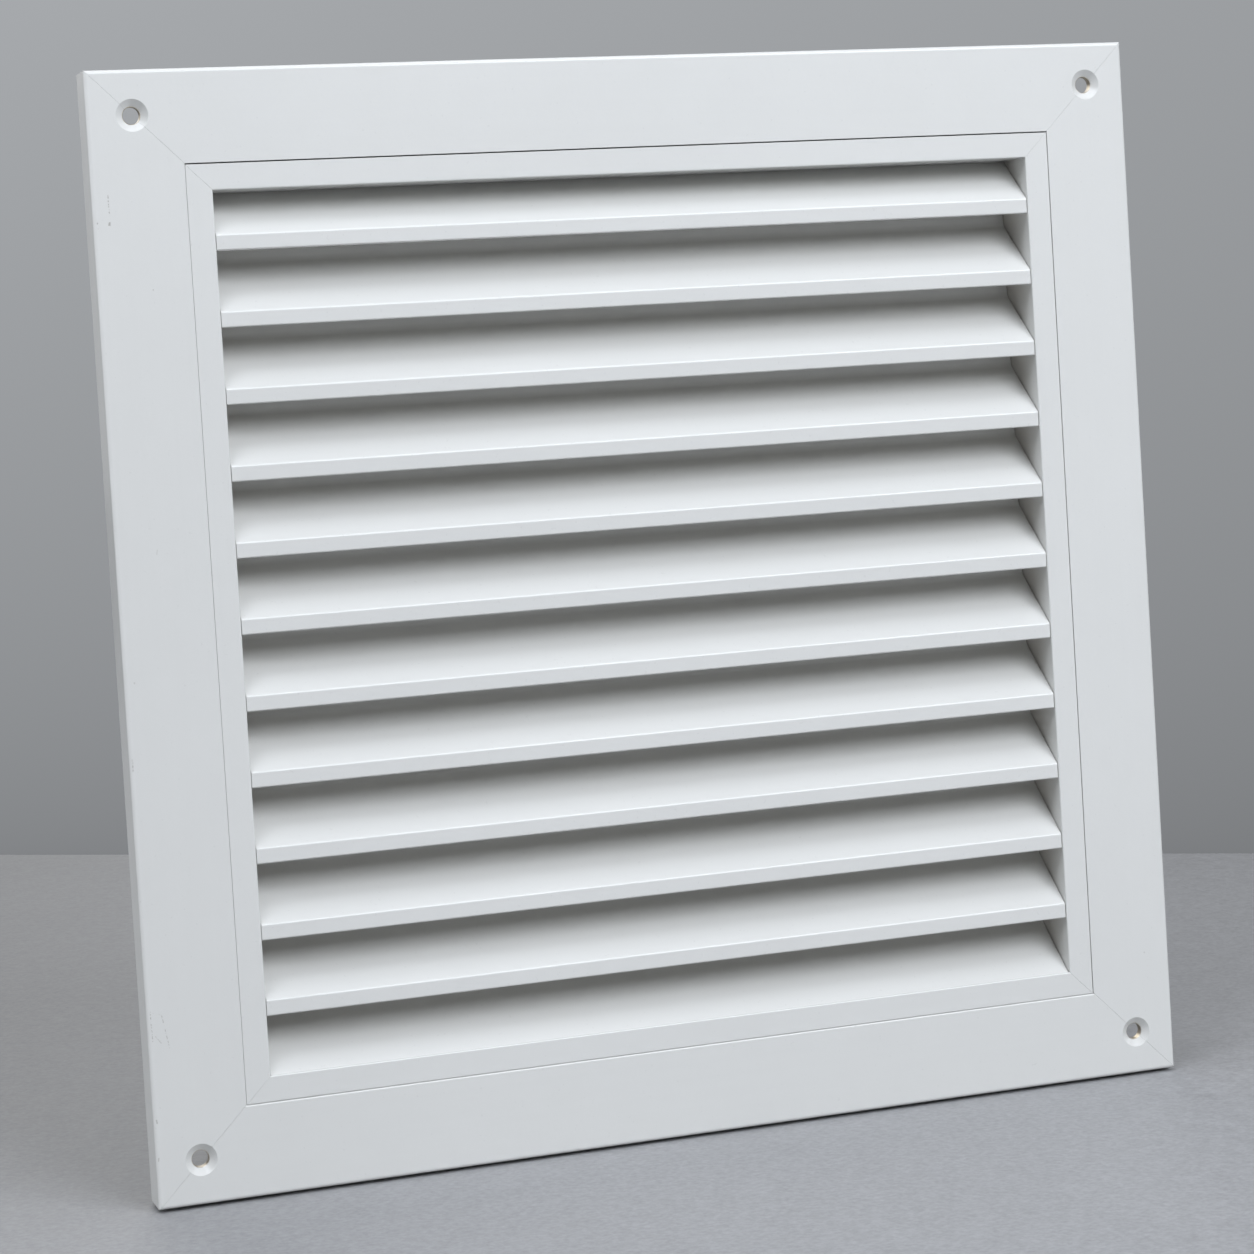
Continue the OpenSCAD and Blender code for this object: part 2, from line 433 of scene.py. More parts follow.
@dataclass
class Graph:
    """Adds and links the nodes of one tree."""

    tree: NodeTree

    def put(self, socket: NodeSocket, value: Input) -> None:
        """Links an output to an input, or sets its value.

        Args:
            socket: The input.
            value: The output or value.
        """
        if isinstance(value, NodeSocket):
            self.tree.links.new(value, socket)
        elif isinstance(value, tuple) and len(value) == 3 and len(socket.default_value) == 4:
            socket.default_value = (*value, 1.0)
        else:
            socket.default_value = value

    def fill(self, node: Node, values: Values) -> Node:
        """Links or sets inputs of a node.

        Args:
            node: The node.
            values: Inputs by name or number.

        Returns:
            The node.
        """
        for key, value in values.items():
            self.put(node.inputs[key], value)
        return node

    def add(self, kind: str, values: Values | None = None, **settings: object) -> Node:
        """Adds a node.

        Args:
            kind: Type of the node.
            values: Inputs by name or number.
            **settings: Attributes of the node.

        Returns:
            The node.
        """
        node = self.tree.nodes.new(kind)
        for name, value in settings.items():
            setattr(node, name, value)
        return self.fill(node, values or {})

    def math(self, operation: str, *values: Input) -> NodeSocket:
        """Adds a Math node and returns its output."""
        return self.add("ShaderNodeMath", dict(enumerate(values)), operation=operation).outputs[0]

    def vector(self, operation: str, values: Values) -> Node:
        """Adds a Vector Math node."""
        return self.add("ShaderNodeVectorMath", values, operation=operation)

    def noise(self, where: Input, layer: Layer) -> NodeSocket:
        """Adds a Noise Texture and returns its value, which lies about 0.5."""
        values = {"Vector": where, "Scale": layer.scale, "Detail": layer.detail, "Roughness": layer.roughness}
        return self.add("ShaderNodeTexNoise", values).outputs[0]

    def ramp(self, value: Input, low: float, high: float, start: float = 0.0, end: float = 1.0) -> NodeSocket:
        """Maps a value smoothly from one range to another and returns it."""
        values = {0: value, 1: low, 2: high, 3: start, 4: end}
        return self.add("ShaderNodeMapRange", values, interpolation_type="SMOOTHSTEP").outputs[0]

    def vary(self, value: Input, amount: float, base: Input = 1.0) -> NodeSocket:
        """Adds a noise value, centred and scaled by an amount, to a base and returns the sum."""
        return self.math("MULTIPLY_ADD", self.math("SUBTRACT", value, 0.5), amount, base)

    def place(self) -> NodeSocket:
        """Adds a Texture Coordinate node and returns its Object output."""
        return self.add("ShaderNodeTexCoord").outputs["Object"]

    def split(self, vector: Input) -> Sockets:
        """Adds a Separate XYZ node and returns its outputs."""
        return self.add("ShaderNodeSeparateXYZ", {0: vector}).outputs

    def join(self, x: Input = 0.0, y: Input = 0.0, z: Input = 0.0) -> NodeSocket:
        """Adds a Combine XYZ node and returns its output."""
        return self.add("ShaderNodeCombineXYZ", {0: x, 1: y, 2: z}).outputs[0]

    def scaled(self, vector: Input, factor: Input) -> NodeSocket:
        """Multiplies a vector or colour by a number and returns the result."""
        return self.vector("SCALE", {0: vector, "Scale": factor}).outputs[0]

    def random(self, low: Input, high: Input, seed: Input) -> NodeSocket:
        """Adds a Random Value node of one number for each point and returns it."""
        values = {2: low, 3: high, "Seed": seed}
        return self.add("FunctionNodeRandomValue", values, data_type="FLOAT").outputs[1]

    def line(self, count: Input, start: Input, offset: Input) -> NodeSocket:
        """Adds a Mesh Line node with an offset from point to point and returns its mesh."""
        values = {"Count": count, "Start Location": start, "Offset": offset}
        return self.add("GeometryNodeMeshLine", values, mode="OFFSET").outputs[0]

    def repeat(self, points: Input, piece: Input, rotation: Input, finish: Input) -> NodeSocket:
        """Sets a piece on every point.

        Args:
            points: The points.
            piece: The piece.
            rotation: Turn of each copy.
            finish: Material of the copies.

        Returns:
            The realized copies with their material.
        """
        values = {"Points": points, "Instance": piece, "Rotation": rotation}
        copies = self.add("GeometryNodeInstanceOnPoints", values).outputs[0]
        solid = self.add("GeometryNodeRealizeInstances", {0: copies}).outputs[0]
        return self.add("GeometryNodeSetMaterial", {"Geometry": solid, "Material": finish}).outputs[0]

    def finish(self, value: Input) -> NodeTree:
        """Links a value to the group's output and returns the tree."""
        self.put(self.add("NodeGroupOutput").inputs[0], value)
        return self.tree

    def blend(self, share: Input, first: Input, second: Input) -> NodeSocket:
        """Mixes two colours and returns the result."""
        return self.add("ShaderNodeMix", {0: share, 6: first, 7: second}, data_type="RGBA").outputs[2]

    def bump(self, height: Input, distance: float, before: NodeSocket | None = None) -> NodeSocket:
        """Adds a Bump node.

        Args:
            height: Height of the surface as a share of the distance.
            distance: Depth of the relief in metres.
            before: Normal that it adds to.

        Returns:
            The new normal.
        """
        values = {"Height": height, "Distance": distance, "Strength": 1.0}
        if before is not None:
            values["Normal"] = before
        return self.add("ShaderNodeBump", values).outputs[0]


def node_group(
    name: str, kind: str, inputs: dict[str, str], output: tuple[str, str]
) -> tuple[Graph, Sockets]:
    """Makes a node group with named sockets.

    Args:
        name: Name of the group.
        kind: Type of its tree.
        inputs: Kind of each input by name.
        output: Name and kind of the output.

    Returns:
        Its graph and the values that it is given, by name.
    """
    tree = bpy.data.node_groups.new(name, kind)
    for label, socket in inputs.items():
        tree.interface.new_socket(label, in_out="INPUT", socket_type=f"NodeSocket{socket}")
    tree.interface.new_socket(output[0], in_out="OUTPUT", socket_type=f"NodeSocket{output[1]}")
    graph = Graph(tree)
    return graph, graph.add("NodeGroupInput").outputs


def new_material(name: str) -> tuple[Material, Graph, Node]:
    """Makes a material.

    Args:
        name: Name of the material.

    Returns:
        The material, its graph and its shader.
    """
    material = bpy.data.materials.new(name)
    material.use_nodes = True
    graph = Graph(material.node_tree)
    return material, graph, material.node_tree.nodes["Principled BSDF"]


@dataclass(frozen=True)
class Mark:
    """A scratch or chip on the front of the outer frame, from one spot to another."""

    start: Point
    end: Point
    width: float
    strength: float
    dotted: float = 0.0


WEAR = (
    Mark((-145.7, 117.3), (-145.7, 112.2), 0.17, 0.70, 1.0),
    Mark((-145.7, 110.1), (-145.8, 109.7), 0.30, 0.75),
    Mark((-148.9, 110.2), (-148.9, 110.1), 0.24, 0.70),
    Mark((-148.8, 108.8), (-148.8, 108.7), 0.20, 0.25),
    Mark((-135.5, 92.3), (-135.5, 92.2), 0.22, 0.50),
    Mark((-149.8, 137.8), (-149.8, 136.9), 0.28, 0.70),
    Mark((-139.0, 24.1), (-139.2, 23.0), 0.16, 0.30),
    Mark((-147.3, -10.2), (-147.3, -10.4), 0.22, 0.40),
    Mark((-149.2, -30.4), (-149.2, -33.4), 0.24, 0.55, 0.6),
    Mark((-149.0, -97.1), (-148.8, -105.0), 0.15, 0.65, 1.0),
    Mark((-149.0, -97.3), (-145.9, -98.4), 0.12, 0.30, 1.0),
    Mark((-148.0, -103.8), (-146.6, -105.7), 0.15, 0.50, 1.0),
    Mark((-146.0, -98.5), (-144.5, -107.2), 0.15, 0.60, 1.0),
    Mark((-149.2, -126.0), (-149.1, -126.7), 0.24, 0.60),
    Mark((-149.3, -136.1), (-149.4, -136.8), 0.22, 0.55),
    Mark((104.1, -143.5), (105.6, -143.3), 0.13, 0.40, 0.5),
    Mark((142.0, -115.0), (142.0, -115.1), 0.24, 0.40),
)


MARK_EDGE = Layer(3200.0)
MARK_GRAINS = Layer(2100.0, 1.0)


def mark_group() -> NodeTree:
    """Makes the shader group that draws one mark.

    Returns:
        A group with the inputs Place, Start, End, Half width and Dotted, and the output Mask.
    """
    inputs = {"Place": "Vector", "Start": "Vector", "End": "Vector", "Half width": "Float", "Dotted": "Float"}
    g, given = node_group("wear mark", "ShaderNodeTree", inputs, ("Mask", "Float"))
    along = g.vector("SUBTRACT", {0: given["End"], 1: given["Start"]}).outputs[0]
    away = g.vector("SUBTRACT", {0: given["Place"], 1: given["Start"]}).outputs[0]
    dot = g.vector("DOT_PRODUCT", {0: away, 1: along}).outputs["Value"]
    square = g.math("MAXIMUM", g.vector("DOT_PRODUCT", {0: along, 1: along}).outputs["Value"], 1e-12)
    share = g.math("MINIMUM", g.math("MAXIMUM", g.math("DIVIDE", dot, square), 0.0), 1.0)
    foot = g.scaled(along, share)
    gap = g.vector("LENGTH", {0: g.vector("SUBTRACT", {0: away, 1: foot}).outputs[0]}).outputs["Value"]
    rough = g.math("MULTIPLY", g.math("SUBTRACT", g.noise(given["Place"], MARK_EDGE), 0.5), 1.6)
    ragged = g.math("ADD", g.math("DIVIDE", gap, given["Half width"]), rough)
    solid = g.ramp(ragged, 0.55, 1.1, 1.0, 0.0)
    grains = g.ramp(g.noise(given["Place"], MARK_GRAINS), 0.47, 0.56)
    whole = g.math("SUBTRACT", 1.0, given["Dotted"])
    dots = g.math("ADD", whole, g.math("MULTIPLY", grains, given["Dotted"]))
    return g.finish(g.math("MULTIPLY", solid, dots))


# Finishes


@dataclass(frozen=True)
class PowderCoat:
    """Satin white powder coat over drawn aluminium."""

    name: str
    grain: Grain
    colour: Triple = (0.700, 0.701, 0.677)
    roughness: float = 0.24
    # How far the coat darkens and warms deeper behind the face: partly dust, partly painted shade of the
    # recesses.
    dust_and_shade: float = 0.0
    marks: tuple[Mark, ...] = ()
    bare: Triple = (0.33, 0.315, 0.285)
    dust_and_shade_colour: Triple = (0.42, 0.385, 0.335)
    dust_and_shade_depth: Point = (-0.001, 0.010)
    cloud: Layer = Layer(11.0, tone=0.055)
    patch: Layer = Layer(90.0, 3.0, 0.6, 0.022)
    lines: Layer = Layer(420.0, 2.0, 0.6, 0.016)
    speck: Layer = Layer(950.0, 1.0, tone=0.05)
    peel: Layer = Layer(620.0, 2.0, 0.55)
    peel_depth: float = 0.000016
    line_depth: float = 0.000010
    chip_depth: float = 0.00005

    def build(self) -> Material:
        """Makes the material.

        Returns:
            The material, with mottling, orange peel, die lines, wear, and dust with painted shade, in Object
            coordinates.
        """
        material, g, shader = new_material(self.name)
        here = g.place()
        drawn = g.vector("MULTIPLY", {0: here, 1: self.grain.value}).outputs[0]
        cloud, patch, lines = g.noise(here, self.cloud), g.noise(here, self.patch), g.noise(drawn, self.lines)
        tone: Input = 1.0
        for value, layer in ((cloud, self.cloud), (patch, self.patch), (lines, self.lines)):
            tone = g.vary(value, layer.tone, tone)
        speck = g.ramp(g.noise(here, self.speck), 0.70, 0.78)
        tone = g.math("SUBTRACT", tone, g.math("MULTIPLY", speck, self.speck.tone))
        colour = g.scaled(self.colour, tone)
        # Painted shade with dust: the coat darkens and warms with depth behind the front face, where shade
        # falls in the recesses.
        if self.dust_and_shade:
            depth = g.vary(patch, 0.004, g.split(here)[1])
            share = g.ramp(depth, *self.dust_and_shade_depth, 0.0, self.dust_and_shade)
            colour = g.blend(share, colour, self.dust_and_shade_colour)
        rough = g.vary(patch, 0.04, self.roughness)
        normal = g.bump(g.noise(here, self.peel), self.peel_depth)
        normal = g.bump(lines, self.line_depth, normal)
        if self.marks:
            group = mark_group()
            total: Input = 0.0
            for mark in self.marks:
                values = {
                    "Place": here,
                    "Start": (mark.start[0] * MM, FACE_Y * MM, mark.start[1] * MM),
                    "End": (mark.end[0] * MM, FACE_Y * MM, mark.end[1] * MM),
                    "Half width": mark.width * MM,
                    "Dotted": mark.dotted,
                }
                node = g.add("ShaderNodeGroup", values, node_tree=group)
                faded = g.math("MULTIPLY", node.outputs["Mask"], mark.strength)
                total = g.math("MAXIMUM", total, faded)
            colour = g.blend(total, colour, self.bare)
            rough = g.math("MULTIPLY_ADD", total, 0.2, rough)
            normal = g.bump(g.math("SUBTRACT", 1.0, total), self.chip_depth, normal)
        g.fill(shader, {"Base Color": colour, "Roughness": rough, "Normal": normal})
        return material


@dataclass(frozen=True)
class Metal:
    """Bare, zinc plated or passivated metal with drawn or rolled lines and stains."""

    name: str
    grain: Grain
    colour: Triple
    stain: Triple
    roughness: float = 0.35
    stain_scale: float = 60.0
    stain_share: float = 0.5
    line_depth: float = 0.00002
    grit_depth: float = 0.000008
    lines: Layer = Layer(1600.0, 3.0, 0.65, 0.14)
    grit: Layer = Layer(2400.0)

    def build(self) -> Material:
        """Makes the material.

        Returns:
            The material, with stains, lines and scuffs in Object coordinates.
        """
        material, g, shader = new_material(self.name)
        here = g.place()
        drawn = g.vector("MULTIPLY", {0: here, 1: self.grain.value}).outputs[0]
        cloud = g.noise(here, Layer(self.stain_scale, 4.0, 0.6))
        lines, grit = g.noise(drawn, self.lines), g.noise(here, self.grit)
        share = g.math("MULTIPLY", g.ramp(cloud, 0.35, 0.68), self.stain_share)
        colour = g.blend(share, self.colour, self.stain)
        colour = g.scaled(colour, g.vary(lines, self.lines.tone))
        rough = g.vary(cloud, 0.25, self.roughness)
        rough = g.vary(grit, 0.12, rough)
        normal = g.bump(lines, self.line_depth)
        normal = g.bump(grit, self.grit_depth, normal)
        g.fill(shader, {"Base Color": colour, "Metallic": 1.0, "Roughness": rough, "Normal": normal})
        return material


@dataclass(frozen=True)
class FloorFinish:
    """Pale grey sealed floor with fine mottling and painted shade: darker further back and towards the left.
    """

    name: str = "studio floor"
    colour: Triple = (0.333, 0.335, 0.342)
    wide: Layer = Layer(9.0, 3.0, 0.55, 0.10)
    fine: Layer = Layer(160.0, 4.0, 0.65, 0.28)
    grain: Layer = Layer(640.0, 2.0, 0.6, 0.50)
    relief: float = 0.0001

    def build(self) -> Material:
        """Makes the material.

        Returns:
            The material.
        """
        material, g, shader = new_material(self.name)
        here = g.place()
        wide, fine, grain = (g.noise(here, layer) for layer in (self.wide, self.fine, self.grain))
        tone: Input = 1.0
        for value, layer in ((wide, self.wide), (fine, self.fine), (grain, self.grain)):
            tone = g.vary(value, layer.tone, tone)
        across, depth, _ = g.split(here)
        # Painted shade: the floor darkens further back and towards the left.
        tone = g.math("MULTIPLY", tone, g.ramp(depth, -0.15, 0.4, 1.0, 0.83))
        tone = g.math("MULTIPLY", tone, g.ramp(across, -0.24, 0.0, 0.80, 1.0))
        rough = g.ramp(fine, 0.3, 0.7, 0.5, 0.62)
        normal = g.bump(fine, self.relief)
        g.fill(shader, {"Base Color": g.scaled(self.colour, tone), "Roughness": rough, "Normal": normal})
        return material


@dataclass(frozen=True)
class WallFinish:
    """Grey backdrop that glows as painted light, with painted shade darker towards the floor and towards the
    right, and can't be seen from behind.
    """

    name: str = "studio wall"
    top: Triple = (0.378, 0.392, 0.409)
    bottom: Triple = (0.219, 0.227, 0.237)
    cloud: Layer = Layer(3.0, tone=0.03)

    def build(self) -> Material:
        """Makes the material.

        Returns:
            The material.
        """
        material, g, shader = new_material(self.name)
        output = g.tree.nodes["Material Output"]
        g.tree.nodes.remove(shader)
        here = g.place()
        across, _, height = g.split(here)
        # Painted light and shade: the glowing grey is lighter at the top and darker towards the floor and
        # towards the right.
        share = g.math("POWER", g.add("ShaderNodeMapRange", {0: height, 1: -0.15, 2: 0.257}).outputs[0], 0.7)
        painted_shade_grey = g.blend(share, self.bottom, self.top)
        tone = g.ramp(across, -0.2, 0.6, 1.02, 0.89)
        tone = g.vary(g.noise(here, self.cloud), self.cloud.tone, tone)
        glow = g.add("ShaderNodeEmission", {0: g.scaled(painted_shade_grey, tone)})
        clear = g.add("ShaderNodeBsdfTransparent")
        behind = g.add("ShaderNodeNewGeometry").outputs["Backfacing"]
        both = g.add("ShaderNodeMixShader", {0: behind, 1: glow.outputs[0], 2: clear.outputs[0]})
        g.put(output.inputs[0], both.outputs[0])
        return material


@dataclass(frozen=True)
class Finishes:
    """All finishes of the grille, made once."""

    frame_level: Material
    frame_upright: Material
    core_level: Material
    core_upright: Material
    blade: Material
    key: Material
    core_key: Material
    screw: Material
    clip: Material

    @classmethod
    def make(cls) -> "Finishes":
        """Builds every material.

        Returns:
            The set of finishes.
        """
        core = (0.703, 0.704, 0.680)
        yellow, dull = (0.62, 0.55, 0.42), (0.50, 0.47, 0.44)
        mill, worn = (0.72, 0.73, 0.74), (0.60, 0.61, 0.62)
        bright, clouded = (0.66, 0.68, 0.70), (0.50, 0.52, 0.55)
        steel, dark = (0.36, 0.37, 0.39), (0.24, 0.245, 0.26)
        return cls(
            frame_level=PowderCoat("frame coat level", Grain.ALONG_X, marks=WEAR).build(),
            frame_upright=PowderCoat("frame coat upright", Grain.ALONG_Z, marks=WEAR).build(),
            core_level=PowderCoat("core coat level", Grain.ALONG_X, core).build(),
            # The core's uprights and the blades get dust and painted shade, darker deeper inside the grille.
            core_upright=PowderCoat("core coat upright", Grain.ALONG_Z, core, dust_and_shade=0.55).build(),
            blade=PowderCoat("blade coat", Grain.ALONG_X, core, 0.23, dust_and_shade=0.14).build(),
            key=Metal("yellow zinc", Grain.NONE, yellow, dull, 0.38, 90.0, 0.7).build(),
            core_key=Metal("mill aluminium", Grain.ALONG_X, mill, worn, 0.36).build(),
            screw=Metal("bright zinc", Grain.NONE, bright, clouded, 0.30, 400.0).build(),
            clip=Metal("spring steel", Grain.ALONG_Z, steel, dark, 0.33, 240.0).build(),
        )

    def frame(self, bar: Bar) -> Material:
        """Coat of an outer frame bar."""
        return self.frame_level if bar in (Bar.TOP, Bar.BOTTOM) else self.frame_upright

    def core(self, bar: Bar) -> Material:
        """Coat of a core bar."""
        return self.core_level if bar in (Bar.TOP, Bar.BOTTOM) else self.core_upright


# Sub-assemblies


@dataclass
class OuterFrame:
    """Four mitred members with countersunk holes on their mitres, and the keys behind them."""

    finishes: Finishes
    size: float = 300.0
    face_w: float = 25.0
    face_t: float = 1.5
    lip_depth: float = 12.0
    lip_t: float = 1.5
    edge_r: float = 1.05
    inner_r: float = 0.1
    shelf_r: float = 0.7
    ledge_w: float = 3.0
    ledge_depth: float = 4.3
    neck_depth: float = 30.0
    neck_t: float = 1.2
    hole_inset: float = 12.0
    hole_d: float = 4.6
    sink_d: float = 8.5
    rim: tuple[Point, ...] = ((0.13, -0.05), (0.04, 0.012), (-0.03, 0.05), (-0.11, 0.12))
    face_bore_play: float = 0.12
    key_w: float = 12.0
    key_t: float = 2.0
    key_arm: float = 46.0
    key_clear: float = 0.15
    hook_t: float = 1.1
    hook_w: float = 1.6
    key_edge_r: float = 0.18
    punch_steps: tuple[float, float] = (9.0, 24.0)
    punch: tuple[Point, ...] = ((0.0, -0.45), (0.55, -0.42), (1.25, 0.05), (1.4, 0.5), (0.0, 0.5))
    mitre_gap: float = 0.015
    mitre_r: float = 0.07

    def section(self, bar: Bar) -> list[Point]:
        """Outline of a member as [distance in from the outer edge, depth].

        Args:
            bar: Which member; the bottom one has a softer edge under the core.

        Returns:
            The outline.
        """
        inner = self.shelf_r if bar is Bar.BOTTOM else self.inner_r
        step = self.face_w - self.lip_t
        neck = self.face_w + self.ledge_w
        shelf = self.ledge_depth + self.neck_t
        back = self.face_t
        hook_front = self.face_t + self.key_t + self.key_clear
        hook_back = hook_front + self.hook_t
        reach = self.key_w / 2 + self.key_clear

        def hook(root: float, way: int) -> list[Triple]:
            """Makes one side of the key channel.

            Args:
                root: Where its inner wall stands.
                way: 1 where the hook lies further in, -1 where it lies further out.

            Returns:
                Its corners from the hook's outer foot to the root.
            """
            foot, tip = root + way * self.hook_t, root - way * self.hook_w
            outer = [(foot, back, 0.2), (foot, hook_back, 0.3), (tip, hook_back, 0.25)]
            return [*outer, (tip, hook_front, 0.25), (root, hook_front, 0.1), (root, back, 0.1)]

        corners = [
            (0.0, 0.0, self.edge_r),
            (self.face_w, 0.0, inner),
            (self.face_w, self.ledge_depth, 0.15),
            (neck, self.ledge_depth, 0.3),
            (neck, self.neck_depth, 0.3),
            (neck - self.neck_t, self.neck_depth, 0.3),
            (neck - self.neck_t, shelf, 0.2),
            (step, shelf, 0.3),
            (step, back, 0.2),
            *hook(self.hole_inset + reach, 1),
            *reversed(hook(self.hole_inset - reach, -1)),
            (self.lip_t, back, 0.2),
            (self.lip_t, self.lip_depth, 0.3),
            (0.0, self.lip_depth, 0.3),
        ]
        return counter_clockwise(rounded(corners, 6))

    def hole_tool(self, corner: Corner, key: bool) -> Object:
        """Makes the cutting tool of a corner hole.

        Args:
            corner: Where the hole is.
            key: Whether it is the key's plain bore, or the member's countersink with its coated rim.

        Returns:
            The tool.
        """
        bore, back, end = self.hole_d / 2, self.face_t, 6.0
        if key:
            line = [(bore + 0.2, back - 0.1), (bore, back + 0.1), (bore, end)]
        else:
            wide = bore + self.face_bore_play
            rim = [(self.sink_d / 2 + out, depth) for out, depth in self.rim]
            line = [*rim, (wide + 0.02, back - 0.03), (wide, back + 0.1), (wide, end)]
        shell = Shell().lathe([(0.0, line[0][1]), *line, (0.0, end)], 64)
        spot = Vector((corner.value[0], 0.0, corner.value[1])) * (self.size / 2 - self.hole_inset)
        spot.y = FACE_Y
        turn = Matrix.Translation(spot) @ Matrix.Rotation(-math.pi / 2, 4, "X")
        return shell.object("hole tool", turn)

    def member(self, bar: Bar) -> None:
        """Makes one member with its two half holes.

        Args:
            bar: Which member.
        """
        half = self.size / 2

        def place(p: Point, sign: float, back: float) -> Vector:
            """Spot of a section point near the mitre at one end."""
            return Vector((sign * (half - p[0] - self.mitre_gap - back), p[1] + FACE_Y, half - p[0]))

        shell = Shell().prism(self.section(bar), place, self.mitre_r)
        obj = shell.object(f"outer_bar_{bar.label}", bar.matrix)
        holes = [self.hole_tool(corner, False) for corner in Corner if bar.name in corner.name]
        hand_over(obj, self.finishes.frame(bar), [f"frame_{bar.label}"], holes)

    def key(self, corner: Corner) -> None:
        """Makes one flat L key with stamped edges and its part of the screw hole.

        Args:
            corner: Where it lies.
        """
        w, arm = self.key_w, self.key_arm
        outline = rounded(
            [(0, 0, 0.8), (arm, 0, 1.2), (arm, w, 1.2), (w, w, 1.0), (w, arm, 1.2), (0, arm, 1.2)], 5
        )

        def place(p: Point, sign: float, back: float) -> Vector:
            """Spot of an outline point near the front or rear face of the plate."""
            depth = back if sign < 0 else self.key_t - back
            return Vector((p[0], depth, p[1]))

        shell = Shell().prism(counter_clockwise(outline), place, self.key_edge_r)
        x, z = corner.value
        edge = self.size / 2 - (self.hole_inset - w / 2)
        spot = Matrix.Translation((x * edge, FACE_Y + self.face_t, z * edge))
        obj = shell.object(f"outer_key_{corner.label}", spot @ Matrix.Diagonal((-x, 1.0, -z, 1.0)))
        tools = [self.hole_tool(corner, True)]
        for step in self.punch_steps:
            for a, b in ((arm - step, w / 2), (w / 2, arm - step)):
                dimple = Shell().lathe(self.punch, 20)
                there = Vector((x * (edge - a), FACE_Y + self.face_t + self.key_t, z * (edge - b)))
                turn = Matrix.Rotation(-math.pi / 2, 4, "X")
                tools.append(dimple.object("punch", Matrix.Translation(there) @ turn))
        hand_over(obj, self.finishes.key, [f"frame_key_{corner.label}"], tools)

    def build(self) -> None:
        """Makes all members and keys."""
        for bar in Bar:
            self.member(bar)
        for corner in Corner:
            self.key(corner)


@dataclass
class Core:
    """Four mitred members of the louvred core, with hollow faces and legs for the blades.

    outset is how far the outer edges of the top, right, bottom and left member stand past
    their nominal size, which narrows the seams; their ends go no further than end_outset.
    """

    finishes: Finishes
    size: float = 249.4
    face_w: float = 6.8
    face_t: float = 1.4
    wall: float = 1.2
    chamber: float = 1.7
    depth: float = 21.0
    edge_r: float = 0.4
    outer_r: float = 0.08
    shift: Triple = (-0.12, 0.0, -0.2)
    mitre_gap: float = 0.015
    mitre_r: float = 0.08
    outset: tuple[float, float, float, float] = (0.14, 0.18, 0.09, 0.11)
    end_outset: float = 0.1
    bore_r: float = 1.45
    bore_reach: float = 1.5

    @property
    def leg_out(self) -> float:
        """Distance of a leg's outer face from the core's middle."""
        return self.size / 2 - self.face_w + self.wall

    @property
    def opening(self) -> float:
        """Width and height of the opening."""
        return self.size - 2 * self.face_w

    @property
    def matrix(self) -> Matrix:
        """Where the core has settled in its play."""
        return Matrix.Translation(self.shift)

    def section(self, outset: float) -> list[Point]:
        """Outline of a member as [distance in from the outer edge, depth].

        Args:
            outset: How far the outer edge stands past its nominal place.

        Returns:
            The outline.
        """
        leg = self.face_w - self.wall
        back = self.face_t + self.chamber + self.wall
        corners = [
            (-outset, 0.0, self.outer_r),
            (self.face_w, 0.0, self.edge_r),
            (self.face_w, self.depth, 0.3),
            (leg, self.depth, 0.3),
            (leg, back, 0.2),
            (-outset, back, 0.3),
        ]
        return counter_clockwise(rounded(corners, 6))

    def hollow(self) -> list[Point]:
        """Makes the outline of the chamber for the keys.

        Returns:
            The outline as [distance in from the outer edge, depth].
        """
        a, b = self.wall, self.face_w - self.wall
        c, d = self.face_t, self.face_t + self.chamber
        return counter_clockwise(rounded([(a, c, 0.15), (b, c, 0.15), (b, d, 0.15), (a, d, 0.15)], 3))

    def member(self, bar: Bar, bores: Sequence[Triple]) -> None:
        """Makes one member.

        Args:
            bar: Which member.
            bores: Middles of the blade screws' holes in its leg, as x, y, z.
        """
        half = self.size / 2

        def place(p: Point, sign: float, back: float) -> Vector:
            """Spot of a section point near the mitre at one end."""
            reach = half - max(p[0], -self.end_outset) - self.mitre_gap - back
            return Vector((sign * reach, p[1] + FACE_Y, half - p[0]))

        outset = self.outset[list(Bar).index(bar)]
        shell = Shell().prism(self.section(outset), place, self.mitre_r, self.hollow())
        obj = shell.object(f"core_bar_{bar.label}", self.matrix @ bar.matrix)
        tools = []
        if bores:
            tool = Shell()
            round_bore = circle(self.bore_r, 24)
            for x, y, z in bores:
                rings = []
                for step in (-self.bore_reach, self.bore_reach):
                    rings.append(tool.ring(Vector((x + step, y + a, z + b)) for a, b in round_bore))
                tool.bridge(rings)
                tool.cap(rings[0])
                tool.cap(rings[1])
            tools.append(tool.object("bore tool", self.matrix))
        hand_over(obj, self.finishes.core(bar), [f"core_{bar.label}"], tools)

    def keys(self) -> None:
        """Gives the hidden corner keys of the CAD model their metal."""
        for corner in Corner:
            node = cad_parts[f"core_key_{corner.label}"]
            node.data.materials.clear()
            node.data.materials.append(self.finishes.core_key)
            LOG.info("%s keeps its CAD shape", node.name)

    def build(self, heights: Sequence[float], depth: float) -> None:
        """Makes all members.

        Args:
            heights: Heights of the blade screws.
            depth: Depth of the blade screws behind the face.
        """
        middle = self.leg_out - self.wall / 2
        for bar in Bar:
            sign = {Bar.LEFT: -1.0, Bar.RIGHT: 1.0}.get(bar, 0.0)
            bores = [(sign * middle, FACE_Y + depth, z) for z in heights] if sign else []
            self.member(bar, bores)
        self.keys()


